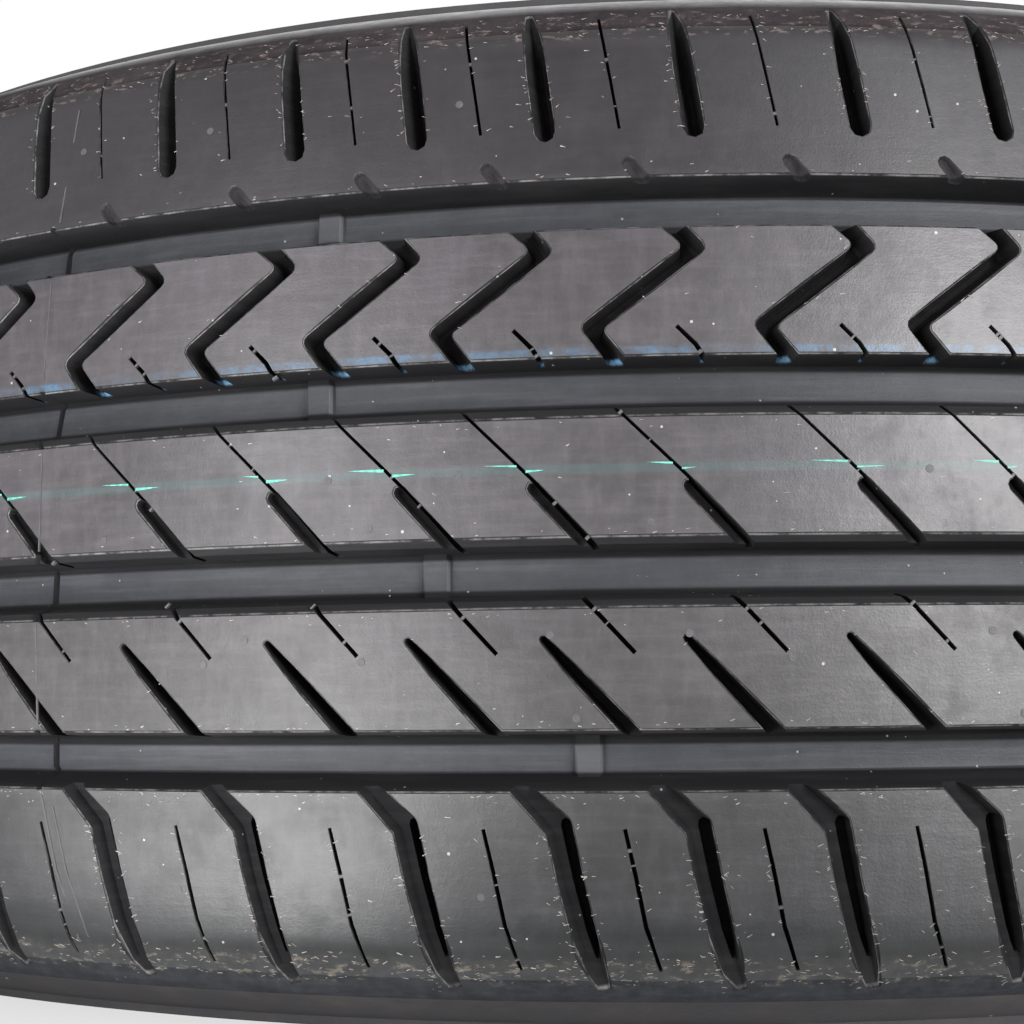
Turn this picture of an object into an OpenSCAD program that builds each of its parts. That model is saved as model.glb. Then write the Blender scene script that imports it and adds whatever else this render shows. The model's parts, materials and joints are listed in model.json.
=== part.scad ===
// Passenger car tyre, 205/55 R16: one moulded piece.
// The axis of rotation is Z and the origin is the centre of the tyre.
// Places in the tread pattern are [along the tread, across it], +Z being up.

/* [Section] */
// Diameter over the middle of the tread
outer_d = 632; // [626:1:640]
// Width at the widest part of the sidewalls
section_w = 206; // [204:1:212]
// Width of the flat ring that the tyre lies on
rest_ring_w = 12; // [8:1:14]
// Diameter of the rim at the bead heels
rim_d = 405.6; // [404:0.2:407]
// Width between the bead heels
rim_w = 165; // [162:1:168]
// Rubber and cords under the main grooves
undertread = 8.5; // [7:0.5:10]
// Thickness of the sidewalls at their widest part
sidewall_t = 6; // [5:0.5:8]

/* [Main grooves] */
// Height of the middle of the first groove from the top
groove_1_z = 49.8; // [48:0.2:51]
// Height of the middle of the second groove
groove_2_z = 16; // [15:0.2:18]
// Height of the middle of the third groove
groove_3_z = -16.8; // [-18:0.2:-15]
// Height of the middle of the fourth groove
groove_4_z = -49.4; // [-51:0.2:-48]
// Width of the first groove at the tread surface
groove_1_w = 10.2; // [9:0.1:12]
// Width of the second groove
groove_2_w = 11.3; // [10:0.1:13]
// Width of the third groove
groove_3_w = 12.9; // [10:0.1:13]
// Width of the fourth groove
groove_4_w = 11.1; // [9:0.1:12]
// Depth of the main grooves
groove_depth = 8; // [7:0.5:8.5]
// Width of the wide chamfers beside the third groove and under the second
wide_chamfer = 1.7; // [1.2:0.1:2]
// Width of the narrow chamfers on the other groove edges
narrow_chamfer = 0.4; // [0.3:0.1:0.6]
// Slope of the groove walls in degrees
wall_draft = 9; // [5:1:12]
// Height of the wear bars on the groove floors
wear_bar_h = 1.6; // [1:0.1:2]

/* [Tread blocks] */
// Length of a small pitch as a share of a medium one
small_pitch = 0.88; // [0.85:0.01:0.95]
// Length of a large pitch as a share of a medium one
large_pitch = 1.12; // [1.05:0.01:1.15]
// Turn of the lower half of the pattern against the upper half, in degrees
half_turn = 7.4; // [0:0.1:10]
// Depth of the slots and cross grooves
cross_depth = 6.5; // [5:0.5:7]
// Depth of the shallow slots and notches
shallow_depth = 3; // [2:0.5:4]
// Width of the sipes
sipe_w = 0.7; // [0.5:0.1:1]
// Depth of the sipes
sipe_depth = 5.5; // [4:0.5:6]

/* [Hidden] */
$fn = 240;

outer_r = outer_d / 2;
half_w = section_w / 2;
rim_r = rim_d / 2;
heel_z = rim_w / 2;
// Each groove's middle, its width and the chamfers on its upper and lower edge
grooves = [[groove_1_z, groove_1_w, narrow_chamfer, narrow_chamfer],
           [groove_2_z, groove_2_w, narrow_chamfer, wide_chamfer],
           [groove_3_z, groove_3_w, wide_chamfer, wide_chamfer],
           [groove_4_z, groove_4_w, wide_chamfer / 2, narrow_chamfer]];

// The crown is flat between the inner grooves and then falls away to the shoulders
crown_flat = 17;
crown_r = 390;
shoulder_in = 17;
tread_half = half_w - shoulder_in;
shoulder_r = 12;
shoulder_floor_slope = 11;

// Sidewall: a flat rest ring with an arc above it and one below it
rest_above_rim = 53.2;
rest_r = rim_r + rest_above_rim;
rest_top = rest_r + rest_ring_w;
lower_r = 55;
lower_end = 130;
flange_h = 15;
flange_bulge = 1;

// Bead: a taper from the rounded heel to a straight seat at the toe
bead_w = 18;
seat_w = 8;
seat_taper = 5;
heel_r = 4;
toe_h = 4;
toe_slant = 0.5;
seat_r = rim_r - (bead_w - seat_w) * tan(seat_taper);

// Air space: a corner arc under the shoulder and a lower arc that leads to the toe
inner_corner_r = 35;
inner_lower_r = 50;
inner_lower_from = 98;
belt_edge = 2;
inner_r = outer_r - groove_depth - undertread;
inner_z = half_w - sidewall_t;
inner_corner_c = [inner_r - belt_edge - inner_corner_r, inner_z - inner_corner_r];

// Where the air space passes the rim's flange, so that the wall stays thick there
flange_wall = [2.2, 6.2];
inner_flange = [rim_r + flange_h + flange_wall[0], min(heel_z - flange_wall[1], inner_z - 20.7)];

// Order of the small, medium and large pitches around the tyre
pitch_order = str("LLMSSMLM", "MSSMMLLM", "LMMSMLLM", "SSMMLMSM", "LLMMSSML",
                  "MLMSSMLL", "MMSMLLMS", "SSMLLMMS", "MLLMSMML");
pitch_count = len(pitch_order);
pattern_start = -116.9;

function share(k) =
    let (size = pitch_order[k % pitch_count])
    size == "S" ? small_pitch : size == "L" ? large_pitch : 1;
share_sums = [for (k = 0, sum = 0; k <= pitch_count; sum = sum + share(k), k = k + 1) sum];

// Angle of a place in the pattern that is counted in pitches
function pitch_angle(u) =
    let (k = floor(u))
    pattern_start + 360 * (share_sums[k] + (u - k) * share(k)) / share_sums[pitch_count];

// Points of an arc as [radius, height], where angle 0 points away from the axis
function arc(centre, r, from, to, steps) =
    [for (i = [0:steps])
        let (a = from + (to - from) * i / steps)
        centre + r * [cos(a), sin(a)]];

// How far the tread lies under the outer radius at a height, and its slope there
function crown_drop(z) = pow(max(abs(z) - crown_flat, 0), 2) / 2 / crown_r;
function crown_slope(z) = atan(max(abs(z) - crown_flat, 0) / crown_r);

shoulder_from = crown_slope(tread_half);
shoulder_c = [outer_r - crown_drop(tread_half), tread_half]
    - shoulder_r * [cos(shoulder_from), sin(shoulder_from)];

// The arc above the rest ring touches the ring and the shoulder's arc
buttress_gap = shoulder_c - [rest_top, half_w];
buttress_r = (pow(shoulder_r, 2) - pow(norm(buttress_gap), 2)) / 2 / (buttress_gap[1] + shoulder_r);
buttress_c = [rest_top, half_w - buttress_r];
buttress_from = asin((buttress_gap[1] + buttress_r) / (buttress_r - shoulder_r));

// Height of the sidewall at a radius, above and below the rest ring
function side_z(r) =
    r > rest_top ? buttress_c[1] + sqrt(pow(buttress_r, 2) - pow(r - rest_top, 2)) :
    half_w - lower_r + sqrt(pow(lower_r, 2) - pow(rest_r - r, 2));

// Raised rings on the sidewalls as [radius, width, height], with the rim guard last
side_rings = [[outer_r - 26, 3, 0.8], [outer_r - 33, 1.2, 0.6],
              [rest_r - 12, 1.2, 0.6], [rest_r - 27, 5, 2.4]];

// Outline from the second groove's middle to the toe, and the air space back again
crown_stations = [grooves[1][0], grooves[0][0]];
outer_half = concat(
    [for (z = crown_stations) [outer_r - crown_drop(z), z]],
    arc(shoulder_c, shoulder_r, shoulder_from, buttress_from, 3),
    arc(buttress_c, buttress_r, (2 * buttress_from + 90) / 3, 90, 3),
    arc([rest_r, half_w - lower_r], lower_r, 90, lower_end, 5),
    [[rim_r + flange_h, heel_z + flange_bulge]],
    arc([rim_r + heel_r, heel_z - heel_r], heel_r, 90, 180, 3),
    [[seat_r, heel_z - bead_w + seat_w], [seat_r, heel_z - bead_w]]);
inner_half = concat(
    [[seat_r + toe_h, heel_z - bead_w - toe_slant], inner_flange],
    arc([inner_corner_c[0], inner_z - inner_lower_r], inner_lower_r, lower_end, inner_lower_from, 4),
    arc(inner_corner_c, inner_corner_r, 90, 0, 6),
    [[inner_r, crown_flat]]);

function mirrored(points) =
    [for (i = [len(points) - 1:-1:0]) [points[i][0], -points[i][1]]];

// Cross section of a raised ring, with flanks that widen into the sidewall
module side_ring(ring) {
    inner = ring[0] - ring[1] / 2;
    outer = ring[0] + ring[1] / 2;
    sunk = 0.3;
    root = 2;
    flank = sunk + ring[2] / 2;
    top = side_z(ring[0]) + ring[2];
    polygon([[ring[0], side_z(ring[0]) - root],
             [inner - flank, side_z(inner - flank) - sunk], [inner, top],
             [outer, top], [outer + flank, side_z(outer + flank) - sunk]]);
}

// Cross section of one main groove, with chamfered edges and sloping walls
function groove_side(w, chamfer) =
    let (drop = min(chamfer, 0.4 + chamfer / 2), edge = w / 2 - chamfer, overlap = 2)
    [[-groove_depth, edge - (groove_depth - drop) * tan(wall_draft)], [-drop, edge],
     [overlap, edge + chamfer + overlap * chamfer / drop]];
module groove_section(groove) {
    upper = groove_side(groove[1], groove[2]);
    lower = groove_side(groove[1], groove[3]);
    translate([outer_r - crown_drop(groove[0]), groove[0]])
        polygon(concat(upper, [for (i = [2:-1:0]) [lower[i][0], -lower[i][1]]]));
}

module section() {
    difference() {
        union() {
            polygon(concat(outer_half, inner_half, mirrored(inner_half), mirrored(outer_half)));
            for (ring = side_rings, side = [0, 1])
                mirror([0, side])
                    side_ring(ring);
        }
        for (groove = grooves)
            groove_section(groove);
    }
}

// Wear bars across the groove floors, at six places around the tyre
module wear_bars() {
    bar_l = 4.5;
    sunk = 1;
    bar_along = [4.3, 2.8, 25.7, 53.4];
    for (k = [3:pitch_count / 6:pitch_count - 1], i = [0:len(grooves) - 1]) {
        bottom = lower_edge(i) + grooves[i][3];
        top = upper_edge(i) - grooves[i][2];
        floor_r = outer_r - crown_drop(grooves[i][0]) - groove_depth;
        rotate(pitch_angle(k) + bar_along[i] / outer_r * 180 / PI)
            translate([floor_r - sunk, -bar_l / 2, bottom])
                cube([sunk + wear_bar_h, bar_l, top - bottom]);
    }
}

// Outline of a stroke along a path of [along, across, width] points
function along_dir(p, i) = let (d = p[i + 1] - p[i], v = [d[0], d[1]]) v / norm(v);
function side_dir(p, i) =
    let (before = along_dir(p, max(i - 1, 0)),
         after = along_dir(p, min(i, len(p) - 2)),
         middle = (before + after) / norm(before + after))
    [-middle[1], middle[0]] / (middle * before);
function side_point(p, i, side) = [p[i][0], p[i][1]] + side * p[i][2] / 2 * side_dir(p, i);
function stroke(p) = concat(
    [for (i = [0:len(p) - 1]) side_point(p, i, 1)],
    [for (i = [len(p) - 1:-1:0]) side_point(p, i, -1)]);

// A path drawn across a band of the tread, 0 being the band's first edge and 1 its second
function placed(path, band) =
    [for (p = path) [p[0], band[0] + p[1] * (band[1] - band[0]), p[2]]];
function lower_edge(i) = grooves[i][0] - grooves[i][1] / 2;
function upper_edge(i) = grooves[i][0] + grooves[i][1] / 2;

// Bands: the shoulders are counted in millimetres from their groove
upper_shoulder = [upper_edge(0), upper_edge(0) + 1];
upper_rib = [upper_edge(1), lower_edge(0)];
middle_rib = [upper_edge(2), lower_edge(1)];
lower_rib = [upper_edge(3), lower_edge(2)];
lower_shoulder = [lower_edge(3), lower_edge(3) - 1];
slot_end = 2;
upper_slot_l = half_w - slot_end - upper_edge(0);
lower_slot_l = half_w - slot_end + lower_edge(3);

// Repeats its children at every pitch, or a share of a pitch later
module each_pitch(later = 0) {
    for (k = [0:pitch_count - 1])
        rotate(pitch_angle(k + later))
            children();
}

// A straight-walled cutter along a path in a band, its floor parallel to the axis
cutter_clear = 4;
module cut(path, band, depth) {
    middle = (band[0] + band[1]) / 2;
    translate([outer_r - crown_drop(middle) - depth, 0, 0])
        rotate([90, 0, 90])
            linear_extrude(depth + cutter_clear)
                polygon(stroke(placed(path, band)));
}

// The same in a shoulder, with a floor that falls away as the shoulder does
module shoulder_cut(path, band, depth) {
    start = band[0] + path[0][1] * (band[1] - band[0]);
    down = start > 0 ? -shoulder_floor_slope : shoulder_floor_slope;
    translate([outer_r - crown_drop(start) - depth, 0, start])
        rotate([0, down, 0])
            rotate([90, 0, 90])
                linear_extrude(depth + cutter_clear)
                    translate([0, -start])
                        polygon(stroke(placed(path, band)));
}

module upper_shoulder_cuts() {
    slot = [[-0.7, 7.5, 3.9], [-5.2, upper_slot_l, 3.9]];
    sipe = [[0, 9.1, sipe_w], [-3.6, 33.6, sipe_w]];
    notch = [[-1, 2.9, 2.2], [4.2, -4.6, 2.2]];
    each_pitch() shoulder_cut(slot, upper_shoulder, cross_depth);
    each_pitch(later = 0.47) shoulder_cut(sipe, upper_shoulder, sipe_depth);
    each_pitch(later = 0.555) cut(notch, upper_shoulder, shallow_depth);
}

module upper_rib_cuts() {
    zigzag = [[-8.1, 1.14, 3.8], [-1.3, 0.84, 2.9], [-20.4, 0.22, 2.9], [-13.4, -0.18, 3.2]];
    sipe = [[-20.3, 0.21, sipe_w], [-13.1, -0.13, sipe_w]];
    each_pitch() cut(zigzag, upper_rib, cross_depth);
    each_pitch(later = 0.455) cut(sipe, upper_rib, sipe_depth);
}

module middle_rib_cuts() {
    sipe = [[-17, 1.14, sipe_w], [9.2, -0.19, sipe_w]];
    groove = [[-4.2, 0.41, 2.4], [7.2, -0.17, 2.4]];
    each_pitch() {
        cut(sipe, middle_rib, cross_depth);
        cut(groove, middle_rib, shallow_depth);
    }
}

module lower_rib_cuts() {
    sipe = [[-28.6, 1.15, sipe_w], [-19, 0.64, sipe_w]];
    taper = [[-25.2, 0.77, 1.3], [-6.6, -0.2, 2.9]];
    each_pitch(later = 0.66) cut(sipe, lower_rib, sipe_depth);
    each_pitch(later = 0.25) cut(taper, lower_rib, cross_depth);
}

module lower_shoulder_cuts() {
    slot = [[-1.3, -2.9, 3.4], [7.4, 5.7, 4.8], [16, lower_slot_l, 4.6]];
    slit = [[8.5, 6.2, 1.8], [12.7, 27.5, 1.4]];
    sipe = [[0, 6.1, sipe_w], [6.2, 32.6, sipe_w]];
    each_pitch() {
        shoulder_cut(slot, lower_shoulder, shallow_depth);
        shoulder_cut(slit, lower_shoulder, cross_depth);
    }
    each_pitch(later = 0.79) shoulder_cut(sipe, lower_shoulder, sipe_depth);
}

module tyre() {
    color("dimgray")
        difference() {
            union() {
                rotate_extrude() section();
                wear_bars();
            }
            upper_shoulder_cuts();
            upper_rib_cuts();
            middle_rib_cuts();
            rotate(half_turn) {
                lower_rib_cuts();
                lower_shoulder_cuts();
            }
        }
}

tyre();
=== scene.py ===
# Passenger car tyre, 205/55 R16, lying on its lower sidewall.
# Lengths are in millimetres until a mesh is made. s runs along the tread and is 0 where the
# tread faces -Y, v runs across it from the lower side to the upper one, and depth goes inward.
import json
import math
import random

import bpy
from mathutils import Matrix, Vector
from mathutils.bvhtree import BVHTree


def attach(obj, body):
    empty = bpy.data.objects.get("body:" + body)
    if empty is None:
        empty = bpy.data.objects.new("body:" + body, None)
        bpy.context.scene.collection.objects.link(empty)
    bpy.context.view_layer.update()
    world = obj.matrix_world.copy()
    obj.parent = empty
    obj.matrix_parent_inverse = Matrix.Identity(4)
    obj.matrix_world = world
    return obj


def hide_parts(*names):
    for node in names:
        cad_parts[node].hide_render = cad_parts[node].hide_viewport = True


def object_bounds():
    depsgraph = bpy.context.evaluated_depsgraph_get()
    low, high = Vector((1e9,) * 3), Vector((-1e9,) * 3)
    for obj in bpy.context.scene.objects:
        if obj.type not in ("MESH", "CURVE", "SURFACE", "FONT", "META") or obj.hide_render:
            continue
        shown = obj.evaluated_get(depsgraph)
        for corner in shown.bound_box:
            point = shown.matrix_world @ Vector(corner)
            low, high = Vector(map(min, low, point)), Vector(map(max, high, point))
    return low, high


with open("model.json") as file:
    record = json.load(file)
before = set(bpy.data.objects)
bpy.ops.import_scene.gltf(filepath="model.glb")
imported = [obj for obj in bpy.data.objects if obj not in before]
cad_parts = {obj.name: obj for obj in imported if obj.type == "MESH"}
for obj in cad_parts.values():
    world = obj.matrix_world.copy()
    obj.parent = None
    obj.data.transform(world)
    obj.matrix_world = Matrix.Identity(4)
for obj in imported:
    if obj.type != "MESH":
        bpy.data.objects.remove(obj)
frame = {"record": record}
cad_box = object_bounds()

# Carcass: one moulded ring of rubber over plies, belts and two bead wires.
# Its section is turned round the axis, with the four main grooves already in it.
# The bead seats, the air space and the raised rings follow the solid model.
MM = 0.001
outer_r = cad_box[1].x / MM
half_w = cad_box[1].z / MM
seat_r = frame["record"]["mounts"][0]["dims"]["r_mm"]

crown_flat = 17
crown_r = 390
tread_half = 80
shoulder_r = 18
rest_inner = 256
rest_outer = 268


def crown_drop(v):
    return max(abs(v) - crown_flat, 0) ** 2 / 2 / crown_r


def polar(centre, radius, angle):
    return centre[0] + radius * math.cos(angle), centre[1] + radius * math.sin(angle)


def arc(centre, radius, start, end, steps):
    """Points of an arc as (radius, height), its angles in degrees, 0 pointing away from the axis."""
    turns = [start + (end - start) * i / steps for i in range(steps + 1)]
    return [polar(centre, radius, math.radians(turn)) for turn in turns]


# The shoulder's arc joins the crown, and the buttress's arc joins it to the rest ring
shoulder_from = math.atan((tread_half - crown_flat) / crown_r)
shoulder_c = polar((outer_r - crown_drop(tread_half), tread_half), -shoulder_r, shoulder_from)
gap_r = shoulder_c[0] - rest_outer
gap_z = shoulder_c[1] - half_w
buttress_r = (shoulder_r**2 - gap_r**2 - gap_z**2) / 2 / (gap_z + shoulder_r)
buttress_c = (rest_outer, half_w - buttress_r)
buttress_from = math.asin((gap_z + buttress_r) / (buttress_r - shoulder_r))
buttress_at = tread_half + shoulder_r * (buttress_from - shoulder_from)


def outline(v):
    """Radius and height of the outside at v, and the direction that points straight out there."""
    w = abs(v)
    if w <= tread_half:
        angle = math.atan(max(w - crown_flat, 0) / crown_r)
        r, z = outer_r - crown_drop(w), w
    elif w <= buttress_at:
        angle = shoulder_from + (w - tread_half) / shoulder_r
        r, z = polar(shoulder_c, shoulder_r, angle)
    else:
        angle = buttress_from + (w - buttress_at) / buttress_r
        r, z = polar(buttress_c, buttress_r, angle)
    side = math.copysign(1, v)
    return r, side * z, math.cos(angle), side * math.sin(angle)


def under(v, depth=0):
    """Radius and height of a place that lies depth under the outside at v."""
    r, z, out_r, out_z = outline(v)
    return r - depth * out_r, z - depth * out_z


def depth_of(r, z):
    """How far a place lies under the outside of the tread."""
    w = abs(z)
    if w > shoulder_c[1] and math.atan2(w - shoulder_c[1], r - shoulder_c[0]) > shoulder_from:
        if math.atan2(w - shoulder_c[1], r - shoulder_c[0]) < buttress_from:
            return shoulder_r - math.hypot(r - shoulder_c[0], w - shoulder_c[1])
        return buttress_r - math.hypot(r - buttress_c[0], w - buttress_c[1])
    return outer_r - crown_drop(w) - r


def on_tread(s, v, depth):
    """A place in the tread as a point in metres."""
    r, z = under(v, depth)
    angle = s / outer_r - math.pi / 2
    return r * math.cos(angle) * MM, r * math.sin(angle) * MM, z * MM


# Main grooves from the top: two edges, then the chamfer's width and depth and the wall's slope at each
groove_depth = 8
foot_r = 1.2
groove_rows = [
    (54.9, 44.7, (0.4, 0.4, 8), (0.4, 0.4, 9)),
    (21.6, 10.3, (0.4, 0.4, 4), (1.9, 1.2, 9)),
    (-10.3, -23.2, (1.6, 1.2, 7), (1.6, 1.2, 12)),
    (-43.8, -54.9, (0.9, 0.8, 9), (0.4, 0.4, 15)),
]


def groove_side(edge, inward, chamfer):
    """One side of a groove, from its edge to its floor, as (v, depth)."""
    width, drop, slope = chamfer
    lean = math.radians(slope)
    foot = edge + inward * (width + (groove_depth - foot_r - drop) * math.tan(lean))
    points = [(edge, 0), (edge + inward * width, drop)]
    for i in range(4):
        turn = lean + (math.pi / 2 - lean) * i / 3
        points.append((foot + inward * foot_r * (math.cos(lean) - math.cos(turn)),
                       groove_depth - foot_r * (1 - math.sin(turn))))
    return points


def between(high, low, step):
    """Places between two others, about one step apart, from high to low and without them."""
    count = max(round((high - low) / step), 1)
    return [high + (low - high) * i / count for i in range(1, count)]


def tread_line():
    """The outside across the whole tread, grooves included, as (radius, height)."""
    shoulder = [buttress_at, *between(buttress_at, tread_half, 1.6), tread_half]
    edges = [tread_half, *[edge for row in groove_rows for edge in row[:2]], -tread_half]
    points = [under(v) for v in shoulder]
    for row, high, low in zip(groove_rows, edges[::2], edges[1::2]):
        points += [under(v) for v in between(high, low, 7)]
        points += [under(*place) for place in groove_side(row[0], -1, row[2])]
        points += [under(*place) for place in reversed(groove_side(row[1], 1, row[3]))]
    points += [under(v) for v in between(edges[-2], edges[-1], 7)]
    return points + [under(-v) for v in reversed(shoulder)]


# Raised rings on each sidewall as (radius, width, height), the last of them the rim guard
side_rings = [(290, 3, 0.8), (283, 1.2, 0.6), (244, 1.2, 0.6), (229, 5, 2.4)]
lower_r = 55
rim_r = 202.8
heel_z = 82.5
heel_r = 4
seat_z = heel_z - 10
toe_z = heel_z - 18


def side_z(r):
    """Height of the upper sidewall at a radius, without its rings."""
    if r > rest_outer:
        return buttress_c[1] + math.sqrt(buttress_r**2 - (r - rest_outer) ** 2)
    return half_w - lower_r + math.sqrt(lower_r**2 - max(rest_inner - r, 0) ** 2)


def sidewall():
    """The upper sidewall from the shoulder in to the bead seat, as (radius, height)."""
    radii = [under(buttress_at)[0]]
    tops = {}
    for radius, width, height in side_rings:
        flank = height / 2 + 0.3
        near, far = radius + width / 2, radius - width / 2
        for stop in (rest_outer, rest_inner):
            if near < stop < radii[-1]:
                radii += [*between(radii[-1], stop, 6), stop]
        radii += [*between(radii[-1], near + flank, 4.5), near + flank, near, far, far - flank]
        tops[near] = tops[far] = side_z(radius) + height
    points = [(r, tops.get(r, side_z(r))) for r in radii[1:]]
    points += arc((rest_inner, half_w - lower_r), lower_r, 126, 130, 1)
    points.append((rim_r + 15, heel_z + 1))
    points += arc((rim_r + heel_r, heel_z - heel_r), heel_r, 90, 180, 5)
    return points + [(seat_r, seat_z), (seat_r, toe_z), (seat_r + 1, toe_z - 0.5)]


# Rubber, belts and plies under the groove floors, and rubber and plies in the sidewall
crown_thick = 8.5
wall_thick = 6
air_corner_r = 35
air_wall_r = 50


def air_side():
    """The upper half of the air space from the bead's toe to the crown, as (radius, height)."""
    inner_r = outer_r - groove_depth - crown_thick
    corner_c = (inner_r - 2 - air_corner_r, half_w - wall_thick - air_corner_r)
    lower_c = (corner_c[0], half_w - wall_thick - air_wall_r)
    return [(seat_r + 4, toe_z - 0.5), *arc(lower_c, air_wall_r, 130, 98, 5),
            *arc(corner_c, air_corner_r, 90, 0, 10), (inner_r, crown_flat)]


def mesh_object(name, points, faces):
    """An object in the scene with a mesh of points in metres and faces."""
    mesh = bpy.data.meshes.new(name)
    mesh.from_pydata(points, [], faces)
    made = bpy.data.objects.new(name, mesh)
    bpy.context.scene.collection.objects.link(made)
    return made


turn_steps = 240
TREAD, SIDE, INSIDE = range(3)


def turned(name):
    """The carcass, with the number of a material on each face."""
    tread, side, air = tread_line(), sidewall(), air_side()
    loop = [*tread, *[(r, -z) for r, z in side + air], *reversed(side + air)]
    skins = [TREAD] * (len(tread) - 1)
    skins += [SIDE] * len(side) + [INSIDE] * 2 * len(air) + [SIDE] * len(side) + [TREAD]
    points, faces = [], []
    for i in range(turn_steps):
        angle = 2 * math.pi * i / turn_steps
        across, along = math.cos(angle) * MM, math.sin(angle) * MM
        points += [(r * across, r * along, z * MM) for r, z in loop]
        here, there = i * len(loop), (i + 1) % turn_steps * len(loop)
        for j in range(len(loop)):
            k = (j + 1) % len(loop)
            faces.append((here + j, here + k, there + k, there + j))
    made = mesh_object(name, points, faces)
    made.data.polygons.foreach_set("material_index", skins * turn_steps)
    return made


tyre = turned("tyre_body")

# Tread pattern: 72 pitches in three lengths, so that the tyre runs quietly.
# The mould's fins leave a channel for each slot, groove and sipe of a pitch.
# The lower half of the pattern is turned against the upper half.
pitch_order = ("LLMSSMLM" "MSSMMLLM" "LMMSMLLM" "SSMMLMSM" "LLMMSSML"
               "MLMSSMLL" "MMSMLLMS" "SSMLLMMS" "MLLMSMML")
pitch_shares = [{"S": 0.88, "M": 1, "L": 1.12}[size] for size in pitch_order]
round_length = 2 * math.pi * outer_r
first_pitch_angle = -116.9
half_angle = 7.4
pattern_start = (first_pitch_angle + 90) / 360 * round_length
half_turn = half_angle / 360 * round_length


def pitch_start(u):
    """The place along the tread of a place in the pattern that is counted in pitches."""
    k = math.floor(u)
    share = sum(pitch_shares[:k]) + (u - k) * pitch_shares[k % len(pitch_shares)]
    return pattern_start + round_length * share / sum(pitch_shares)


def turned_left(direction, angle=math.pi / 2):
    return Matrix.Rotation(angle, 2) @ direction


inner_ease = 1.2
sharp_turn = math.radians(25)


def rails(path, widen):
    """Left and right edge of a channel along a path of (along, across, width), wider by widen.

    A sharp turn is rounded on its outer side and eased on its inner side.
    """
    places = [Vector(stop[:2]) for stop in path]
    steps = [(b - a).normalized() for a, b in zip(places, places[1:])]
    left, right = [], []
    for i, (here, stop) in enumerate(zip(places, path)):
        before, after = steps[max(i - 1, 0)], steps[min(i, len(steps) - 1)]
        turn = math.atan2(before.x * after.y - before.y * after.x, before.dot(after))
        half = stop[2] / 2 + widen
        middle = turned_left((before + after).normalized()) / math.cos(turn / 2)
        if abs(turn) < sharp_turn:
            left.append(here + middle * half)
            right.append(here - middle * half)
            continue
        ease = inner_ease - widen
        side = math.copysign(1, turn)
        inner_c = here + side * middle * (half + ease)
        outer, inner = (right, left) if turn > 0 else (left, right)
        for share in (0, 0.34, 0.66, 1):
            out = side * turned_left(before, math.pi / 2 + turn * share)
            outer.append(here - out * half)
            inner.append(inner_c - out * ease)
    return left, right


def cap(from_edge, to_edge, round_end):
    """Points of a half circle beyond the end of a channel, from one edge to the other."""
    if not round_end:
        return []
    centre = (from_edge + to_edge) / 2
    return [centre + turned_left(from_edge - centre, -math.pi * i / 4) for i in range(1, 4)]


def channel(path, levels, round_ends=(False, False), fade=(), skew=0):
    """A cutter along a path, with a ring of points at each level of (depth, widen).

    Its points are (along, across, depth). fade scales the depth at the path's last stops,
    and skew moves the channel along the tread for each millimetre that it goes down.
    """
    points, faces = [], []
    for depth, widen in levels:
        left, right = rails(path, widen)
        end = cap(left[-1], right[-1], round_ends[1])
        start = cap(right[0], left[0], round_ends[0])
        shares = [1] * (len(left) - len(fade)) + list(fade)
        ends = [shares[-1]] * len(end), [shares[0]] * len(start)
        for place, share in zip([*left, *end, *right[::-1], *start],
                                [*shares, *ends[0], *shares[::-1], *ends[1]]):
            down = depth * share if depth > 0 else depth
            points.append((place[0] + max(down, 0) * skew, place[1], down))
    count, span, far = len(left), len(points) // len(levels), len(end)
    for level in range(len(levels) - 1):
        for i in range(span):
            here, there = level * span + i, level * span + (i + 1) % span
            faces.append((here, there, there + span, here + span))
    last = 2 * count + far - 1
    lid = [(i, i + 1, last - 1 - i, last - i) for i in range(count - 1)]
    lid.append(tuple(range(count - 1, count + far + 1)))
    lid.append((*range(last, span), 0))
    for base, flip in ((0, -1), (len(points) - span, 1)):
        faces += [tuple(base + i for i in face[::flip]) for face in lid if len(face) > 2]
    return points, faces


def walls(depth, slope=3, bevel=0.35, foot=0.6):
    """Levels of a channel with bevelled edges, sloping walls and rounded feet."""
    lean = (depth - foot - bevel) * math.tan(math.radians(slope))
    return [(-0.8, bevel + 0.8), (bevel, 0), (depth - foot, -lean), (depth, -lean - foot)]


def add_shape(part, points, faces):
    """Adds points in metres, and faces between them, to a part that is being gathered."""
    base = len(part[0])
    part[0].extend(points)
    part[1].extend(tuple(base + i for i in face) for face in faces)


cuts = [([], []), ([], [])]


def add_cut(shape, later=0, turn=0, after=0):
    """Puts a cutter at every pitch, or a share of a pitch later. after is 1 for a cut inside another."""
    points, faces = shape
    for k in range(len(pitch_order)):
        start = pitch_start(k + later) + turn
        spots = [on_tread(start + along, across, depth) for along, across, depth in points]
        add_shape(cuts[after], spots, faces)


# Upper shoulder: an open slot over the edge, a sipe beside it and a scooped notch at the groove.
slot_path = [(-0.9, 64, 3.9), (-2.4, 76, 3.9), (-3, 81.5, 3.5), (-3.7, 86.5, 2.7), (-4.3, 91, 1.5)]
slot_levels = walls(6.5, slope=11, bevel=0.25)
add_cut(channel(slot_path, slot_levels, (True, False), fade=(0.85, 0.4, 0.04), skew=0.2))
notch_levels = [(-0.8, 1.05), (0.25, 0), (3.6, -0.3), (4.4, -0.9)]
notch_path = [(4.6, 50, 2.9), (2.2, 53.4, 2.8), (-0.8, 57.3, 2.6)]
add_cut(channel(notch_path, notch_levels, (False, True), fade=(0.62, 0.32)), later=0.555)

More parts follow.
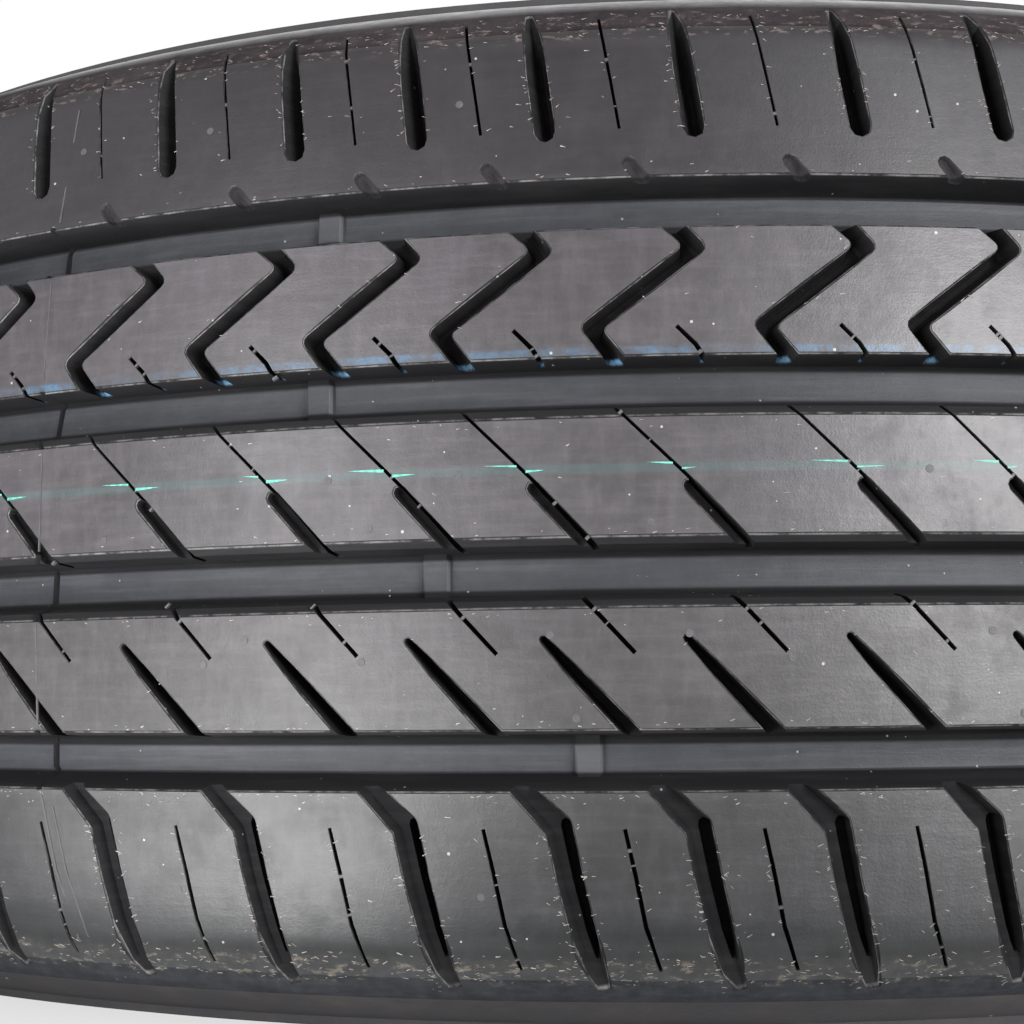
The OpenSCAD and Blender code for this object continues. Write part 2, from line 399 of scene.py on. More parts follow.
# Upper rib: a zigzag groove from edge to edge. Middle rib: a shallow groove along half of a sipe.
zigzag_path = [(-8.1, 48, 3.8), (-1.3, 41.1, 2.9), (-20.4, 26.6, 2.9), (-13.4, 17.4, 3.2)]
add_cut(channel(zigzag_path, walls(6.5, slope=4, bevel=0.25)))
shallow_path = [(-3.5, -1.9, 2.3), (7.5, -13.9, 2.4)]
add_cut(channel(shallow_path, walls(2.6, slope=8, bevel=0.3, foot=0.4), (True, False)))

# Lower rib: a groove that widens to the lower edge.
taper_path = [(-24.8, -28.4, 1.3), (-20.6, -33, 2.2), (-6.6, -48, 2.9)]
taper_levels = walls(6.5, slope=3, bevel=0.2, foot=0.3)
add_cut(channel(taper_path, taper_levels, (True, False)), later=0.25, turn=half_turn)

# Lower shoulder: a bent slot that runs out over the edge, with a deep slit in it.
bent_path = [(-0.7, -52.6, 3.4), (7.4, -60.6, 4.7), (9.2, -70, 4.7), (11.3, -79, 4.5),
             (13.5, -86.5, 3.7), (14.9, -90.5, 2.6)]
bent_levels = [(-0.8, 1), (0.2, 0), (2.6, -0.9)]
add_cut(channel(bent_path, bent_levels, (True, False), fade=(1, 0.5, 0.03)), turn=half_turn)
slit_path = [(8.8, -60.6, 2.5), (10.7, -70, 2.5), (12.6, -79, 1.9), (13.8, -84.5, 0.8)]
add_cut(channel(slit_path, [(0.3, 0.1), (6.5, -0.15)], (True, False)), turn=half_turn, after=1)

# Sipes from the top: each one's path, its share of a pitch, its turn and its depth
sipe_rows = [
    ([(0, 64, 0.6), (-1.5, 74, 0.6), (-2.9, 83, 0.6), (-3.6, 88.5, 0.6)], 0.47, 0, 5.5),
    ([(-20.5, 26.6, 0.8), (-17.2, 23.2, 0.9), (-14.6, 19, 0.9)], 0.5, 0, 5.5),
    ([(-17.3, 13.2, 0.6), (-3.1, -0.9, 0.7), (9, -14.2, 1.2)], 0, 0, 6.5),
    ([(-28.6, -20.2, 0.9), (-18.8, -30.9, 0.8)], 0.66, half_turn, 5.5),
    ([(-0.2, -61, 0.7), (1.5, -69, 0.8), (3.2, -78, 0.8), (5.8, -86, 0.6)], 0.79, half_turn, 5.5),
]
for sipe_path, later, turn, depth in sipe_rows:
    add_cut(channel(sipe_path, [(-0.8, 0), (depth, 0)]), later, turn, after=1)


def cut(body, cutters, way="DIFFERENCE"):
    """Takes the cutters out of the body and keeps the result as its mesh."""
    change = body.modifiers.new("cut", "BOOLEAN")
    change.operation = way
    change.solver = "MANIFOLD"
    change.object = cutters
    bpy.context.view_layer.update()
    done = body.evaluated_get(bpy.context.evaluated_depsgraph_get())
    old = body.data
    body.data = bpy.data.meshes.new_from_object(done)
    body.modifiers.clear()
    bpy.data.meshes.remove(old)
    bpy.data.objects.remove(cutters)


for number, part in enumerate(cuts):
    cut(tyre, mesh_object(f"channels_{number}", *part))

# Wear bars: low bridges across the main grooves, at six places round the tyre.
# Their tops lie 1.6 mm over the groove floors, the least tread that may be left.
bar_height = 1.6
bar_length = 4.5
bar_places = 6
bar_along = [4.3, 2.8, 25.7, 53.4]
bar_top = groove_depth - bar_height
bar_levels = [(bar_top, -0.2), (bar_top + 0.2, 0), (groove_depth + 0.6, 0.9)]
bars = ([], [])
for k in range(3, len(pitch_order), len(pitch_order) // bar_places):
    for (high, low, upper_side, lower_side), along in zip(groove_rows, bar_along):
        place = pitch_start(k) + along
        ends = [(place, high - upper_side[0], bar_length), (place, low + lower_side[0], bar_length)]
        points, faces = channel(ends, bar_levels)
        add_shape(bars, [on_tread(*corner) for corner in points], faces)
cut(tyre, mesh_object("wear_bars", *bars), "UNION")

# Rubber: one black compound, moulded bright on the blocks and duller in the grooves, where its colour is also
# painted darker as shade.
# Handling and storage have left it streaked, worn pale along the edges and a little dusty.
# How deep a place lies under the tread is kept on the mesh, because the finish changes with it.
GROOVE, SHOULDER = 3, 4
cut_depth = 0.12
dull_high, dull_low = 84.2, -87
depths = tyre.data.attributes.new("depth", "FLOAT", "POINT")
places = [vertex.co / MM for vertex in tyre.data.vertices]
deep = [max(depth_of(math.hypot(p.x, p.y), p.z), 0) for p in places]
depths.data.foreach_set("value", deep)
for face in tyre.data.polygons:
    if face.material_index == TREAD:
        if max(deep[corner] for corner in face.vertices) > cut_depth:
            face.material_index = GROOVE
        elif face.center.z > dull_high * MM or face.center.z < dull_low * MM:
            face.material_index = SHOULDER


def node(tree, kind, inputs=None, **settings):
    """A shader node. Its inputs, by name or number, are plain values or other nodes' outputs."""
    made = tree.nodes.new("ShaderNode" + kind)
    for name, value in settings.items():
        setattr(made, name, value)
    for name, value in (inputs or {}).items():
        if isinstance(value, bpy.types.NodeSocket):
            tree.links.new(value, made.inputs[name])
        else:
            made.inputs[name].default_value = value
    return made


def maths(tree, operation, *values):
    return node(tree, "Math", dict(enumerate(values)), operation=operation).outputs[0]


def times(tree, *values):
    return maths(tree, "MULTIPLY", *values)


def plus(tree, *values):
    return maths(tree, "ADD", *values)


def ease(tree, value, start, end):
    """0 before start and 1 after end, or the other way round if end is the smaller."""
    eased = node(tree, "MapRange", {0: value, 1: start, 2: end}, interpolation_type="SMOOTHSTEP")
    return eased.outputs[0]


def band(tree, value, low, high, edge):
    """1 between low and high, and 0 outside them."""
    rise = ease(tree, value, low - edge, low + edge)
    return times(tree, rise, ease(tree, value, high + edge, high - edge))


def over(tree, share, under_colour, over_colour):
    """One colour over another, by a share from 0 to 1."""
    return node(tree, "Mix", {0: share, 6: under_colour, 7: over_colour}, data_type="RGBA").outputs[2]


def noise(tree, place, scale, detail=3, roughness=0.55):
    inputs = {"Vector": place, "Scale": scale, "Detail": detail, "Roughness": roughness}
    return node(tree, "TexNoise", inputs).outputs[0]


def vector_maths(tree, operation, *values, put_out="Vector"):
    return node(tree, "VectorMath", dict(enumerate(values)), operation=operation).outputs[put_out]


def effect(name, settings, put_out):
    """A shader node group that has a place and settings for inputs and puts out one number."""
    group = bpy.data.node_groups.new(name, "ShaderNodeTree")
    for title, value in {"Place": (0, 0, 0), **settings}.items():
        kind = "NodeSocketVector" if isinstance(value, tuple) else "NodeSocketFloat"
        group.interface.new_socket(title, in_out="INPUT", socket_type=kind).default_value = value
    group.interface.new_socket(put_out, in_out="OUTPUT", socket_type="NodeSocketFloat")
    inner = group.nodes.new("NodeGroupInput")
    return group, inner.outputs, group.nodes.new("NodeGroupOutput").inputs


# Streaks that rubbing leaves, drawn out along the tread or across it
streaks, given, taken = effect("streaks", {"Stretch": (20, 20, 600)}, "Mask")
drawn = vector_maths(streaks, "MULTIPLY", given["Place"], given["Stretch"])
streaks.links.new(ease(streaks, noise(streaks, drawn, 1, 5, 0.65), 0.42, 0.72), taken["Mask"])

# Specks of pale dust, each in a cell of its own
specks, given, taken = effect("specks", {"Per metre": 200, "Share": 0.1, "Size": 0.2}, "Mask")
cells = node(specks, "TexVoronoi", {"Vector": given["Place"], "Scale": given["Per metre"]})
lots = node(specks, "SeparateXYZ", {0: cells.outputs["Color"]}).outputs
kept = maths(specks, "LESS_THAN", lots[0], given["Share"])
speck_reach = times(specks, given["Size"], plus(specks, lots[1], 0.3))
dot = maths(specks, "LESS_THAN", cells.outputs["Distance"], speck_reach)
specks.links.new(times(specks, kept, dot), taken["Mask"])

# Pale line where an edge has rubbed, broken up along its length
edge_wear, given, taken = effect("edge_wear", {"Depth": 0}, "Mask")
patches = ease(edge_wear, noise(edge_wear, given["Place"], 260, 4, 0.7), 0.35, 0.65)
by_edge = band(edge_wear, given["Depth"], 0.14, 0.34, 0.1)
edge_wear.links.new(times(edge_wear, patches, by_edge), taken["Mask"])

# Grain of the mould, as a height
grain, given, taken = effect("grain", {"Per metre": 2500}, "Height")
pits = node(grain, "TexVoronoi", {"Vector": given["Place"], "Scale": given["Per metre"]}).outputs["Distance"]
rough = noise(grain, given["Place"], times(grain, given["Per metre"], 0.25), 4, 0.7)
grain.links.new(plus(grain, times(grain, pits, 0.35), rough), taken["Height"])


def placed(tree, group, place, settings):
    """What an effect puts out in a material, with the settings that it gets there."""
    return node(tree, "Group", {"Place": place, **settings}, node_tree=group).outputs[0]


def rubber(name):
    """A material, its node tree, its shader's inputs and the place on the object."""
    made = bpy.data.materials.new(name)
    made.use_nodes = True
    tree = made.node_tree
    shader = tree.nodes["Principled BSDF"]
    place = node(tree, "TexCoord").outputs["Object"]
    return made, tree, shader.inputs, place


def finished(tree, shader, colour, roughness, specular=0.5):
    """Gives a rubber its colour, roughness and gloss."""
    tree.links.new(colour, shader["Base Color"])
    tree.links.new(roughness, shader["Roughness"])
    shader["Specular IOR Level"].default_value = specular


def grained(tree, shader, place, per_metre, strength, relief=None, distance=0.0002):
    """Gives a rubber the grain of its mould, with any other relief of the same place."""
    height = placed(tree, grain, place, {"Per metre": per_metre})
    if relief is not None:
        height = plus(tree, height, relief)
    bump = node(tree, "Bump", {"Strength": strength, "Distance": distance, "Height": height})
    tree.links.new(bump.outputs[0], shader["Normal"])


# Colour across the tread as (v, red, green, blue). Outside the ribs the colour is painted darker as shade,
# darkest in a band on each shoulder where it turns over, and lighter again beyond that band.
ramp_end = 100
compound_and_shade = [(-ramp_end, 0.046, 0.048, 0.053), (-89, 0.046, 0.048, 0.053), (-84.5, 0.032, 0.032, 0.032),
            (-82.5, 0.013, 0.014, 0.015), (-79, 0.014, 0.015, 0.016), (-75, 0.030, 0.030, 0.032),
            (-57, 0.032, 0.032, 0.033), (-54, 0.050, 0.048, 0.048), (-10, 0.053, 0.048, 0.052),
            (50, 0.053, 0.047, 0.053), (56, 0.018, 0.015, 0.018), (78, 0.013, 0.011, 0.014),
            (81, 0.010, 0.008, 0.011), (84, 0.013, 0.010, 0.012), (85.5, 0.044, 0.037, 0.040),
            (90, 0.040, 0.034, 0.037), (ramp_end, 0.040, 0.034, 0.037)]
low_dust, high_dust = (-88.4, -84), (82.5, 89)


def across_tread(tree, place):
    """v of a place on the object."""
    return times(tree, node(tree, "SeparateXYZ", {0: place}).outputs["Z"], 1 / MM)


def block_rubber(name):
    """Rubber of the blocks, with painted shade on the shoulders and flecks of brown dust where the shoulders
    turn over.
    """
    made, tree, shader, place = rubber(name)
    across = across_tread(tree, place)
    clouds = noise(tree, place, 28, 4, 0.6)
    along_streaks = placed(tree, streaks, place, {"Stretch": (80, 80, 620)})
    across_streaks = placed(tree, streaks, place, {"Stretch": (420, 420, 110)})
    # The colour across the tread, with painted shade darkening both shoulders
    ramp_share = node(tree, "MapRange", {0: across, 1: -ramp_end, 2: ramp_end}).outputs[0]
    ramp = node(tree, "ValToRGB", {0: ramp_share})
    stops = ramp.color_ramp.elements
    for v, *shade in compound_and_shade:
        stops.new((v + ramp_end) / 2 / ramp_end).color = (*shade, 1)
    stops.remove(stops[0])
    stops.remove(stops[-1])
    rubbed = times(tree, plus(tree, along_streaks, across_streaks), 0.22)
    rubbed = plus(tree, rubbed, times(tree, noise(tree, place, 240, 5, 0.7), 0.7))
    uneven = plus(tree, times(tree, clouds, 0.6), plus(tree, 0.03, rubbed))
    colour = node(tree, "VectorMath", {0: ramp.outputs[0], "Scale": uneven}, operation="SCALE").outputs[0]
    flecks = placed(tree, streaks, place, {"Stretch": (330, 330, 900)})
    low_flecks = times(tree, band(tree, across, *low_dust, 0.7), ease(tree, flecks, 0.3, 0.9))
    colour = over(tree, times(tree, low_flecks, 0.4), colour, (0.22, 0.195, 0.15, 1))
    high_flecks = times(tree, band(tree, across, *high_dust, 0.8), ease(tree, flecks, 0.4, 1))
    colour = over(tree, times(tree, high_flecks, 0.4), colour, (0.24, 0.19, 0.17, 1))
    grained(tree, shader, place, 2600, 0.2, times(tree, along_streaks, 0.3))
    dusty = ease(tree, noise(tree, place, 90, 5, 0.7), 0.42, 0.75)
    return made, tree, shader, place, across, clouds, dusty, colour


# Where the shoulders turn over, the rubber is dull
shoulder_rubber, tree, shader, *_, dusty, colour = block_rubber("shoulder_rubber")
finished(tree, shader, colour, plus(tree, 0.55, times(tree, dusty, 0.3)), specular=0.02)

tread_rubber, tree, shader, place, across, clouds, dusty, colour = block_rubber("tread_rubber")
# A blue line was painted on the rubber before it was moulded, along the upper rib's lower edge
rib_edge = groove_rows[1][0]
blue_left = times(tree, band(tree, across, rib_edge, rib_edge + 1.4, 0.4),
                  ease(tree, noise(tree, place, 260, 5, 0.75), 0.34, 0.68))
blue_left = times(tree, blue_left, ease(tree, noise(tree, place, 26, 2, 0.5), 0.15, 0.7))
colour = over(tree, blue_left, colour, (0.05, 0.115, 0.19, 1))
# A fainter teal line runs round the middle rib
teal_line = band(tree, across, 0.6, 2.2, 0.4)
colour = over(tree, times(tree, teal_line, 0.06), colour, (0.05, 0.30, 0.28, 1))
dust = placed(tree, specks, place, {"Per metre": 520, "Share": 0.07, "Size": 0.12})
colour = over(tree, times(tree, dust, 0.55), colour, (0.5, 0.48, 0.45, 1))
far_out = maths(tree, "MAXIMUM", ease(tree, across, 79.5, 84), ease(tree, across, -79, -84))
matt = plus(tree, times(tree, clouds, 0.16), times(tree, dusty, 0.15))
matt = plus(tree, plus(tree, 0.3, matt), times(tree, far_out, 0.45))
finished(tree, shader, colour, matt)

# In the grooves and slots the rubber is dull, and on the walls its colour is painted nearly black as shade,
# darker deeper in. The groove floors and the wear bars' tops, which the mould's rings and bars have polished,
# are greyer and streaked along.
groove_rubber, tree, shader, place = rubber("groove_rubber")
depth = node(tree, "Attribute", attribute_name="depth").outputs["Fac"]
across = across_tread(tree, place)
along_streaks = placed(tree, streaks, place, {"Stretch": (30, 30, 560)})
mottling = noise(tree, place, 190, 5, 0.7)
on_floor = 0
for high, low, upper_side, lower_side in groove_rows:
    upper_foot = groove_side(high, -1, upper_side)[-1][0]
    lower_foot = groove_side(low, 1, lower_side)[-1][0]
    on_floor = maths(tree, "MAXIMUM", on_floor, band(tree, across, lower_foot, upper_foot, 0.35))
on_floor = times(tree, on_floor, ease(tree, depth, bar_top - 0.15, bar_top - 0.05))
# Painted shade: the walls, and the floor's edges beside them, are painted nearly black, darker deeper in
shaded_wall_colour = over(tree, ease(tree, depth, 0.4, 2.6), (0.009, 0.009, 0.010, 1), (0.005, 0.005, 0.006, 1))
shaded_wall_colour = over(tree, times(tree, along_streaks, 0.2), shaded_wall_colour, (0.04, 0.036, 0.036, 1))
floor_colour = over(tree, mottling, (0.020, 0.021, 0.025, 1), (0.050, 0.052, 0.059, 1))
floor_colour = over(tree, times(tree, along_streaks, 0.2), floor_colour, (0.11, 0.112, 0.12, 1))
bar_edge = band(tree, depth, bar_top + 0.04, bar_top + 0.9, 0.04)
floor_colour = over(tree, times(tree, bar_edge, 0.6), floor_colour, (0.12, 0.12, 0.125, 1))
colour = over(tree, on_floor, shaded_wall_colour, floor_colour)
worn = placed(tree, edge_wear, place, {"Depth": depth})
colour = over(tree, times(tree, worn, 0.4), colour, (0.33, 0.32, 0.31, 1))
# The blue paint has run into the mouths of the upper rib's slots and sipes
blue_mouth = times(tree, band(tree, across, rib_edge - 0.5, rib_edge + 0.4, 0.3), ease(tree, depth, 4.6, 5.6))
blue_mouth = times(tree, blue_mouth, ease(tree, noise(tree, place, 520, 3, 0.7), 0.2, 0.6))
colour = over(tree, times(tree, blue_mouth, 0.8), colour, (0.12, 0.26, 0.40, 1))
# The notches in the upper shoulder are scooped smooth, and dust has greyed them
scooped = times(tree, band(tree, across, 55, 58.5, 0.2), ease(tree, depth, 3.2, 2.4))
colour = over(tree, times(tree, scooped, 0.8), colour, (0.034, 0.031, 0.033, 1))
dust = placed(tree, specks, place, {"Per metre": 620, "Share": 0.08, "Size": 0.12})
colour = over(tree, times(tree, dust, 0.45), colour, (0.4, 0.4, 0.4, 1))
finished(tree, shader, colour, maths(tree, "SUBTRACT", 0.8, times(tree, on_floor, 0.32)), specular=0.2)
grained(tree, shader, place, 2200, 0.3, times(tree, along_streaks, 0.5))

# The sidewalls' rubber is plainer and greyer, and browner where it meets the shoulder
side_rubber, tree, shader, place = rubber("side_rubber")
spot = node(tree, "SeparateXYZ", {0: place}).outputs
flat = node(tree, "CombineXYZ", {0: spot[0], 1: spot[1]}).outputs[0]
radius = times(tree, vector_maths(tree, "LENGTH", flat, put_out="Value"), 1 / MM)
clouds = noise(tree, place, 22, 4, 0.6)
colour = over(tree, clouds, (0.042, 0.041, 0.044, 1), (0.066, 0.063, 0.066, 1))
by_shoulder = ease(tree, radius, 292, 304)
dusty = times(tree, ease(tree, noise(tree, place, 90, 5, 0.7), 0.42, 0.75),
              plus(tree, 0.12, times(tree, by_shoulder, 0.16)))
colour = over(tree, times(tree, by_shoulder, 0.6), colour, (0.038, 0.034, 0.037, 1))
colour = over(tree, dusty, colour, (0.16, 0.14, 0.125, 1))
dust = placed(tree, specks, place, {"Per metre": 240, "Share": 0.03, "Size": 0.12})
colour = over(tree, times(tree, dust, 0.7), colour, (0.6, 0.58, 0.55, 1))
finished(tree, shader, colour, plus(tree, 0.45, times(tree, dusty, 0.4)), specular=0.1)
# Fine ribs stand between the two outer rings, as wide as they are apart
rib_count = 720
bearing = maths(tree, "ARCTAN2", spot[1], spot[0])
ribs = times(tree, maths(tree, "SINE", times(tree, bearing, rib_count)),
             band(tree, radius, 284.6, 287.4, 0.3))
grained(tree, shader, place, 2200, 0.4, times(tree, ribs, 1.2))

# The air side shows the lines that the curing bladder's vents leave
liner_rubber, tree, shader, place = rubber("liner_rubber")
vent_line_count = 180
spot = node(tree, "SeparateXYZ", {0: place}).outputs
bearing = maths(tree, "ARCTAN2", spot[1], spot[0])
clouds = noise(tree, place, 16, 4, 0.6)
colour = over(tree, clouds, (0.032, 0.032, 0.034, 1), (0.055, 0.053, 0.053, 1))
finished(tree, shader, colour, plus(tree, 0.4, times(tree, clouds, 0.2)))
vent_lines = ease(tree, maths(tree, "COSINE", times(tree, bearing, vent_line_count)), 0.85, 1)
grained(tree, shader, place, 1400, 0.5, times(tree, vent_lines, 1.5), distance=0.0003)

tyre.data.materials[TREAD] = tread_rubber
for finish in (side_rubber, liner_rubber, groove_rubber, shoulder_rubber):
    tyre.data.materials.append(finish)
tyre.data.shade_smooth()
tyre.data.set_sharp_from_angle(angle=math.radians(24))
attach(tyre, "root")
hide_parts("tyre")

# Mould marks: what the mould leaves on the rubber, all of the same compound.
# Thin flash bridges the sipes, small round stubs stand where the mould was vented,
# and thin curved lines show where the mould's eight segments met; those in the grooves are painted nearly
# black, as painted shade along them.
chance = random.Random(4)


def plate(part, corners, top, sunk=0.1):
    """Adds a low plate with corners at (s, v), its top standing over the tread and its foot sunk in."""
    count = len(corners)
    points = [on_tread(s, v, depth) for depth in (sunk, -top) for s, v in corners]
    sides = [(i, (i + 1) % count, count + (i + 1) % count, count + i) for i in range(count)]
    add_shape(part, points, [*sides, range(count, 2 * count)])


def on_path(path, share):
    """A place at a share of a path's length, and the direction of the path there."""
    stops = [Vector(stop[:2]) for stop in path]
    left = share * sum((b - a).length for a, b in zip(stops, stops[1:]))
    for a, b in zip(stops, stops[1:]):
        if left <= (b - a).length or b is stops[-1]:
            return a + (b - a).normalized() * left, (b - a).normalized()
        left -= (b - a).length


def strip(path):
    """The outline of a strip along a path of (along, across, width)."""
    left, right = rails(path, 0)
    return [*right, *left[::-1]]


flash, vents, joins, seams = ([], []), ([], []), ([], []), ([], [])
for k in range(len(pitch_order)):
    for sipe_path, later, turn, depth in sipe_rows:
        start = Vector((pitch_start(k + later) + turn, 0))
        for _ in range(chance.choice((1, 2, 2))):
            spot, way = on_path(sipe_path, chance.uniform(0.06, 0.97))
            half = way * chance.uniform(0.12, 0.3)
            out = turned_left(way) * (sipe_path[0][2] / 2 + 0.12)
            corners = [spot + half - out, spot + half + out, spot - half + out, spot - half - out]
            plate(flash, [start + corner for corner in corners], -chance.uniform(0, 0.25), 0.9)

# Vent stubs in each pitch: the share of a pitch, the place along and across, and the pattern's turn
vent_r = 0.75
vent_rows = [(0.3, 0, 0.8, 0), (0.62, 0, -8.2, 0), (0, 0, -31.9, half_turn), (0.27, 0, -27.6, half_turn),
             (0.45, 0, -42, half_turn), (0, -6.7, -72.7, half_turn), (0.3, 0, 70.5, 0)]
for k in range(len(pitch_order)):
    for later, along, v, turn in vent_rows:
        if chance.random() < 0.5:
            s = pitch_start(k + later) + turn + along
            corners = [polar((s, v), vent_r, i * math.pi / 4) for i in range(8)]
            plate(vents, corners, 0.08)

# Each parting line as strips of (along, across, width) with their height, from the upper shoulder down.
# The last two run side by side over the lower shoulder.
join_rows = [
    ([(5, 100, 0.35), (3, 80, 0.35), (1.5, 56, 0.35)], 0.12),
    ([(0.6, 43.6, 0.3), (0, 24, 0.3)], 0.1),
    ([(0.2, 9.6, 0.3), (0, -9.6, 0.3)], 0.1),
    ([(-0.4, -24, 0.35), (0, -43, 0.35)], 0.1),
    ([(0.4, -56, 0.4), (3, -70, 0.4), (7, -83, 0.4), (12, -93, 0.4)], 0.12),
    ([(3, -58, 0.3), (5.4, -70, 0.3), (9.2, -82, 0.3), (14.5, -92, 0.3)], 0.1),
]
segments = 8
seam_bow = 3.4
for k in range(1, len(pitch_order), len(pitch_order) // segments):
    start = Vector((pitch_start(k) + 3.6, 0))
    for path, high in join_rows:
        plate(joins, [start + corner for corner in strip(path)], high, 0.2)
    # In each groove the seam bows to one side, from edge to edge over the floor
    for high, low, upper_side, lower_side in groove_rows:
        side = [*groove_side(high, -1, upper_side), *groove_side(low, 1, lower_side)[::-1]]
        points = []
        for v, depth in side:
            bow = chance.uniform(-0.2, 0.2) - seam_bow * math.sin(math.pi * (high - v) / (high - low))
            wide = chance.uniform(0.45, 0.8)
            for across, lift in ((-wide, -0.1), (-wide * 0.5, 0.5), (wide * 0.5, 0.5), (wide, -0.1)):
                points.append(on_tread(start.x + bow + across, v, depth - lift))
        rows = range(0, 4 * len(side) - 4, 4)
        faces = [(row + j, row + 1 + j, row + 5 + j, row + 4 + j) for row in rows for j in range(3)]
        add_shape(seams, points, faces)


def patchy(name, scale, detail, dark, pale, roughness, spread, specular=0.5):
    """A plain material between two colours, rougher where it is paler."""
    made, tree, shader, place = rubber(name)
    patches = noise(tree, place, scale, detail, 0.6)
    colour = over(tree, patches, (*dark, 1), (*pale, 1))
    finished(tree, shader, colour, plus(tree, roughness, times(tree, patches, spread)), specular)
    return made, tree, shader, place


def laid_on(name, part, finish):
    """Makes an object of a gathered part, as a piece that rides on the tyre."""
    made = mesh_object(name, *part)
    made.data.materials.append(finish)
    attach(made, "root")


mark_rubber, *inside = patchy("mark_rubber", 600, 4, (0.020, 0.020, 0.022), (0.085, 0.080, 0.082), 0.4, 0.3)
grained(*inside, 2600, 0.4)
# The seams in the grooves are painted nearly black, as painted shade along them
shaded_seam_rubber, *_ = patchy("shaded_seam_rubber", 500, 4, (0.004, 0.004, 0.005), (0.012, 0.012, 0.013), 0.7, 0.3, 0.15)
laid_on("sipe_flash", flash, mark_rubber)
laid_on("vent_stubs", vents, mark_rubber)
laid_on("segment_lines", joins, mark_rubber)
laid_on("groove_seams", seams, shaded_seam_rubber)

# Paint marks: thin teal paint that has gathered beside the middle rib's sipes.
# A line of it was sprayed round the tread before moulding, and tapers away from each sipe.
paint = ([], [])
for k in range(len(pitch_order)):
    start = pitch_start(k)
    for edge, v, length in ((-6.4, 2.1, -chance.uniform(3, 8)), (-4.8, 1.1, chance.uniform(2, 6))):
        tall = chance.uniform(0.14, 0.3)
        stops = [(start + edge + length * share, v + 0.2 * share, tall * (1 - share) ** 0.7)
                 for share in (0, 0.3, 0.65, 1)]
        lower = [(s, at - half) for s, at, half in stops]
        upper = [(s, at + half) for s, at, half in stops[-2::-1]]
        corners = [*lower, *upper] if length > 0 else [*lower, *upper][::-1]
        plate(paint, corners, 0.03, 0.02)
teal_paint, tree, shader, place = rubber("teal_paint")
thin = ease(tree, noise(tree, place, 900, 3, 0.6), 0.3, 0.7)
colour = over(tree, thin, (0.06, 0.20, 0.17, 1), (0.12, 0.50, 0.39, 1))
finished(tree, shader, colour, plus(tree, 0.4, times(tree, thin, 0.3)))
laid_on("paint_marks", paint, teal_paint)

# Crumbs: pale rubber dust and fibres that cling along the edges of the slots and ribs.
# They lie thickest on the lower shoulder, where the tyre was rolled and stacked.
# One stays only where there is rubber between 1 mm over the tread and 0.35 mm under it.
crumbs = ([], [])
crumb_search = 1.35
rubber_skin = BVHTree.FromPolygons([point.co for point in tyre.data.vertices],
                                   [face.vertices for face in tyre.data.polygons])


def crumb(s, v, long, wide, lean):
    """A flat crumb on the tread, at an angle of lean to it. None is left where the tread is cut away."""
    above = Vector(on_tread(s, v, -1))
    inward = Vector(on_tread(s, v, 0)) - above
    if rubber_skin.ray_cast(above, inward, crumb_search * MM)[0] is None:
        return
    way = Vector((math.cos(lean), math.sin(lean))) * long / 2
    out = turned_left(way).normalized() * wide / 2
    corners = (-way - out, way - out * 0.4, way + out * 0.5, -way + out)
    points = [on_tread(s + corner.x, v + corner.y, -0.02 - 0.03 * (i % 2))
              for i, corner in enumerate(corners)]
    add_shape(crumbs, points, [range(4)])


# Crumbs along a channel's edges: its path, share, turn, how many, and how far from the edge they reach
crumb_rows = [(bent_path[1:], 0, half_turn, 50, 0.55), (slot_path[:4], 0, 0, 22, 0.45),
              (sipe_rows[4][0], 0.79, half_turn, 9, 0.4), (sipe_rows[0][0], 0.47, 0, 6, 0.5),
              (taper_path, 0.25, half_turn, 4, 0.5), (zigzag_path[1:3], 0, 0, 4, 0.6)]
# Crumbs along the ribs' edges: the edge, the way to the rib and how many
edge_rows = ((-54.9, -1, 12), (-43.8, 1, 8), (-23.2, -1, 5), (-10.3, 1, 5), (10.3, -1, 3), (54.9, 1, 5))
# Crumbs strewn between two places across the tread, and how many
strewn_rows = ((-89, -83, 34), (83, 90, 22), (-82, 82, 9))
for k in range(len(pitch_order)):
    for path, later, turn, count, spread in crumb_rows:
        start = pitch_start(k + later) + turn
        for _ in range(count):
            spot, way = on_path(path, chance.random())
            side = 1 if chance.random() < 0.68 else -1
            if way.y < 0:
                side = -side
            gap = path[0][2] / 2 + 0.1 + chance.expovariate(1 / spread)
            spot = spot + turned_left(way) * side * gap
            crumb(start + spot.x, spot.y, chance.uniform(0.2, 1.1), chance.uniform(0.06, 0.17),
                  chance.uniform(-0.8, 0.8))
    for edge, inward, count in edge_rows:
        for _ in range(count):
            s = pitch_start(k + chance.random())
            v = edge + inward * (0.2 + chance.expovariate(1.6))
            crumb(s, v, chance.uniform(0.2, 0.8), chance.uniform(0.08, 0.2), chance.uniform(-0.5, 0.5))
    for low, high, count in strewn_rows:
        for _ in range(count):
            crumb(pitch_start(k + chance.random()), chance.uniform(low, high), chance.uniform(0.2, 1.1),
                  chance.uniform(0.08, 0.25), chance.uniform(-0.6, 0.6))
crumb_dust, *_ = patchy("crumb_dust", 500, 3, (0.13, 0.12, 0.115), (0.42, 0.38, 0.34), 0.7, 0.2)
laid_on("edge_crumbs", crumbs, crumb_dust)

# Floor: a plain white studio floor of smooth painted board.
# The tyre's rest ring lies on it, and it keeps the tyre's shadow.
floor_reach = 6
floor_z = cad_box[0].z
signs = ((-1, -1), (1, -1), (1, 1), (-1, 1))
corners = [(x * floor_reach, y * floor_reach, floor_z) for x, y in signs]
floor = mesh_object("floor", corners, [(0, 1, 2, 3)])
floor_paint = bpy.data.materials.new("floor_paint")
floor_paint.use_nodes = True
tree = floor_paint.node_tree
shader = tree.nodes["Principled BSDF"]
shader.inputs["Base Color"].default_value = (0.8, 0.8, 0.8, 1)
shader.inputs["Roughness"].default_value = 0.25
